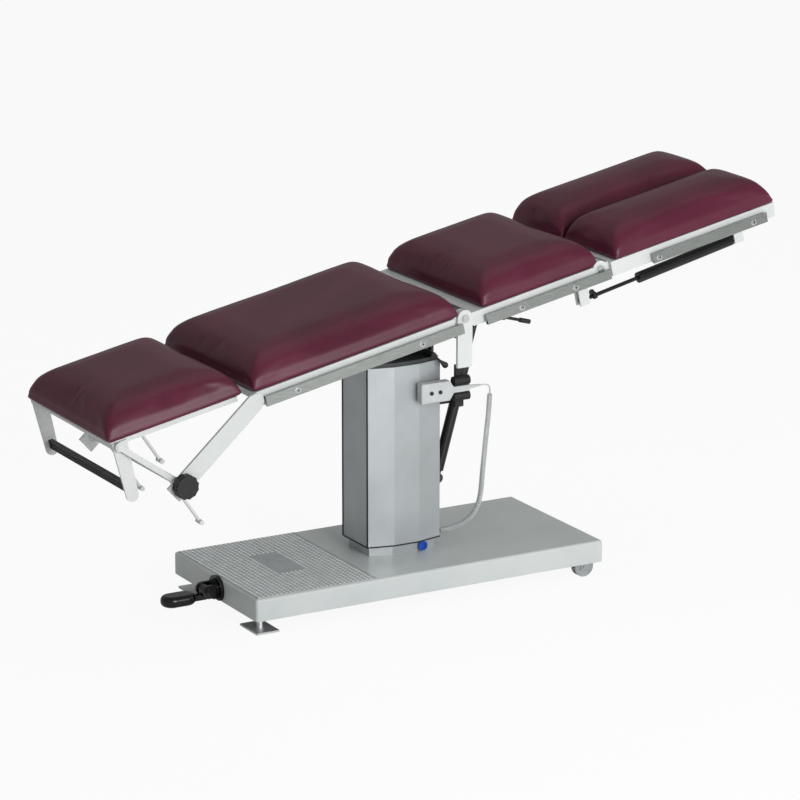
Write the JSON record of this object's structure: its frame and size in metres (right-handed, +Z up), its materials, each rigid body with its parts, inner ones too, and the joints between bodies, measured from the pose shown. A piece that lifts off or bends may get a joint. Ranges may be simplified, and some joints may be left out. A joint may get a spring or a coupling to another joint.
{
  "type": "operating table",
  "caption": "Operating table with a tilting sectioned top, split leg rests and adjustable headrest on an electric lifting column and low base.",
  "frame": {"origin": "on the floor, under the middle of the whole table's box", "axes": "+X along the table to the leg end, +Y to the far long side, +Z up"},
  "size_m": [1.8976, 0.5424, 0.9876],
  "materials": {
    "white_enamel": "satin",
    "grey_enamel": "satin",
    "steel": "polished",
    "stainless": "brushed",
    "dark_steel": "satin",
    "black_enamel": "gloss",
    "tyre_rubber": "matte",
    "grey_plastic": "matte",
    "black_plastic": "satin",
    "pale_plastic": "satin",
    "blue_plastic": "satin",
    "maroon_vinyl": "satin"
  },
  "bodies": {
    "base": {"base_cover": "white_enamel", "base_frame": "white_enamel", "tread_mat": "white_enamel", "foot_plates": "steel", "foot_stems": "steel", "wheel_forks": "steel", "equalising_socket": "blue_plastic", "column_stage": "white_enamel", "lift_screw": "steel", "pedal_mount": "black_plastic"},
    "near_wheel": {"near_tyre": "tyre_rubber", "near_hub": "grey_plastic"},
    "far_wheel": {"far_tyre": "tyre_rubber", "far_hub": "grey_plastic"},
    "pedal": {"pedal_arm": "black_plastic", "pedal_pad": "black_plastic"},
    "lift": {"column_cover": "grey_enamel", "lift_tube": "steel", "column_head": "dark_steel", "handset": "pale_plastic", "handset_clamp": "black_plastic", "strain_relief": "pale_plastic", "cord_gland": "black_plastic", "cord_lead": "pale_plastic", "cord_coil": "pale_plastic"},
    "button_up": {"button_up": "black_plastic"},
    "button_down": {"button_down": "black_plastic"},
    "yoke": {"tilt_yoke": "dark_steel", "drop_arm": "dark_steel"},
    "tilt_lever": {"tilt_lever": "black_plastic"},
    "seat": {"seat_frame": "white_enamel", "side_plates": "white_enamel", "saddle_beam": "dark_steel", "seat_rails": "stainless", "hinge_bolts": "steel", "seat_pad": "maroon_vinyl"},
    "back_lever": {"back_lever": "black_plastic"},
    "strut_body": {"tilt_strut_body": "black_enamel"},
    "strut_rod": {"tilt_strut_rod": "black_enamel"},
    "back": {"back_frame": "white_enamel", "back_rails": "stainless", "back_pad": "maroon_vinyl", "head_arms": "white_enamel"},
    "star_knob": {"star_knob": "black_plastic"},
    "link": {"link_frame": "white_enamel"},
    "head": {"head_frame": "white_enamel", "handle_arms": "white_enamel", "grip_bar": "black_plastic", "head_pad": "maroon_vinyl"},
    "near_leg": {"near_leg_frame": "white_enamel", "near_leg_rail": "stainless", "near_leg_pad": "maroon_vinyl"},
    "far_leg": {"far_leg_frame": "white_enamel", "far_leg_rail": "stainless", "far_leg_pad": "maroon_vinyl"},
    "near_gas_cylinder": {"near_gas_cylinder": "black_enamel"},
    "near_gas_rod": {"near_gas_rod": "black_enamel"},
    "far_gas_cylinder": {"far_gas_cylinder": "black_enamel"},
    "far_gas_rod": {"far_gas_rod": "black_enamel"}
  },
  "joints": [
    {"name": "near_wheel_spin", "type": "hinge", "parent": "base", "child": "near_wheel", "pos_m": [0.40658, -0.1938, 0.027], "axis": [0, 1, 0], "continuous": true},
    {"name": "far_wheel_spin", "type": "hinge", "parent": "base", "child": "far_wheel", "pos_m": [0.40658, 0.2082, 0.027], "axis": [0, 1, 0], "continuous": true},
    {"name": "pedal_press", "type": "hinge", "parent": "base", "child": "pedal", "pos_m": [-0.58342, -0.0128, 0.068], "axis": [0, 1, 0], "range_deg": [-12, 0], "stiffness_Nm_per_rad": 20, "springref_deg": 11.46},
    {"name": "lift", "type": "slide", "parent": "base", "child": "lift", "axis": [0, 0, 1], "range_m": [0, 0.28]},
    {"name": "press_up", "type": "slide", "parent": "lift", "child": "button_up", "axis": [0, 1, 0], "range_m": [0, 0.002], "stiffness_N_per_m": 400, "springref_m": -0.001},
    {"name": "press_down", "type": "slide", "parent": "lift", "child": "button_down", "axis": [0, 1, 0], "range_m": [0, 0.002], "stiffness_N_per_m": 400, "springref_m": -0.001},
    {"name": "lateral_tilt", "type": "hinge", "parent": "lift", "child": "yoke", "pos_m": [-0.04742, 0.0072, 0.622], "axis": [1, 0, 0], "range_deg": [-12, 12]},
    {"name": "tilt_lever_turn", "type": "hinge", "parent": "lift", "child": "tilt_lever", "pos_m": [0.03458, -0.0688, 0.606], "axis": [0, 1, 0], "range_deg": [-20, 0], "stiffness_Nm_per_rad": 1, "springref_deg": 11.46},
    {"name": "trend", "type": "hinge", "parent": "yoke", "child": "seat", "pos_m": [-0.04742, 0.0072, 0.68], "axis": [0, 1, 0], "range_deg": [-8, 20]},
    {"name": "back_lever_turn", "type": "hinge", "parent": "seat", "child": "back_lever", "pos_m": [0.147, -0.2208, 0.72275], "axis": [0, 1, 0], "range_deg": [0, 15], "stiffness_Nm_per_rad": 1, "springref_deg": -11.46},
    {"name": "strut_swing", "type": "hinge", "parent": "yoke", "child": "strut_body", "pos_m": [0.08858, 0.0072, 0.258], "axis": [0, 1, 0], "range_deg": [-3, 6]},
    {"name": "strut_stroke", "type": "slide", "parent": "strut_body", "child": "strut_rod", "axis": [0.2758, 0, 0.9612], "range_m": [-0.095, 0.04]},
    {"name": "back_raise", "type": "hinge", "parent": "seat", "child": "back", "pos_m": [0.02979, 0.0072, 0.73677], "axis": [0, 1, 0], "range_deg": [0, 70]},
    {"name": "knob_turn", "type": "hinge", "parent": "back", "child": "star_knob", "pos_m": [-0.7535, -0.2578, 0.42489], "axis": [0, 1, 0], "continuous": true},
    {"name": "head_swing", "type": "hinge", "parent": "back", "child": "link", "pos_m": [-0.7535, 0.0072, 0.42489], "axis": [0, 1, 0], "range_deg": [-35, 0]},
    {"name": "head_tilt", "type": "hinge", "parent": "link", "child": "head", "pos_m": [-0.91372, 0.0072, 0.53901], "axis": [0, 1, 0], "range_deg": [-25, 15]},
    {"name": "near_leg_fold", "type": "hinge", "parent": "seat", "child": "near_leg", "pos_m": [0.42162, -0.1228, 0.8172], "axis": [0, 1, 0], "range_deg": [0, 90]},
    {"name": "near_gas_swing", "type": "hinge", "parent": "near_leg", "child": "near_gas_cylinder", "pos_m": [0.84667, -0.2168, 0.84524], "axis": [0, 1, 0], "range_deg": [-1, 4]},
    {"name": "near_gas_stroke", "type": "slide", "parent": "near_gas_cylinder", "child": "near_gas_rod", "axis": [-0.9732, 0, -0.2298], "range_m": [-0.13, 0.001]},
    {"name": "far_leg_fold", "type": "hinge", "parent": "seat", "child": "far_leg", "pos_m": [0.42162, 0.1372, 0.8172], "axis": [0, 1, 0], "range_deg": [0, 90]},
    {"name": "far_gas_swing", "type": "hinge", "parent": "far_leg", "child": "far_gas_cylinder", "pos_m": [0.84667, 0.2312, 0.84524], "axis": [0, 1, 0], "range_deg": [-1, 4]},
    {"name": "far_gas_stroke", "type": "slide", "parent": "far_gas_cylinder", "child": "far_gas_rod", "axis": [-0.9732, 0, -0.2298], "range_m": [-0.13, 0.001]}
  ],
  "couplings": [
    {"joint": "strut_swing", "follows": "trend", "ratio": 0.197},
    {"joint": "strut_stroke", "follows": "trend", "m_per_rad": -0.2545},
    {"joint": "near_gas_swing", "follows": "near_leg_fold", "ratio": 0.0259},
    {"joint": "near_gas_stroke", "follows": "near_leg_fold", "m_per_rad": -0.0802},
    {"joint": "far_gas_swing", "follows": "far_leg_fold", "ratio": 0.0259},
    {"joint": "far_gas_stroke", "follows": "far_leg_fold", "m_per_rad": -0.0802}
  ]
}
